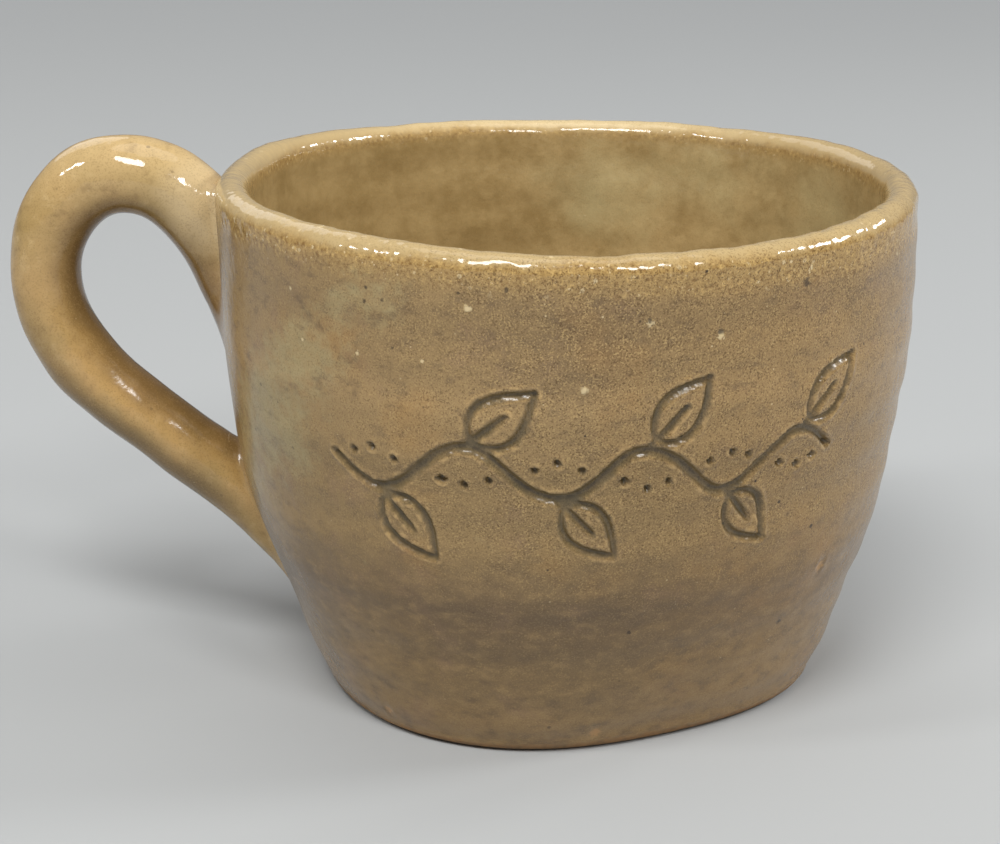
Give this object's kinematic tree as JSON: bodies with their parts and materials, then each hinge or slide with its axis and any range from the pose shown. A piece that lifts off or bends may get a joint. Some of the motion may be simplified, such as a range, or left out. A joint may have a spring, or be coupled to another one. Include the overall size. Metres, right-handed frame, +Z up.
{
  "type": "pottery cup",
  "caption": "Hand-thrown glazed stoneware cup, slightly out of round, with a flat foot and one rolled coil handle luted to the wall at two worked joins.",
  "frame": {"origin": "centre of the flat foot, on the surface that the cup stands on", "axes": "+Z up along the axis that the cup was thrown on, -X towards the handle, -Y towards the decorated side"},
  "size_m": [0.1217, 0.091, 0.0736],
  "materials": {
    "body_glaze": "glossy speckled tan stoneware glaze",
    "handle_glaze": "glossy golden-ochre stoneware glaze",
    "join_glaze": "glossy tan stoneware glaze"
  },
  "bodies": {
    "root": {"thrown_body": "body_glaze", "coil_handle": "handle_glaze", "upper_join_clay": "join_glaze", "lower_join_clay": "join_glaze"}
  },
  "joints": []
}
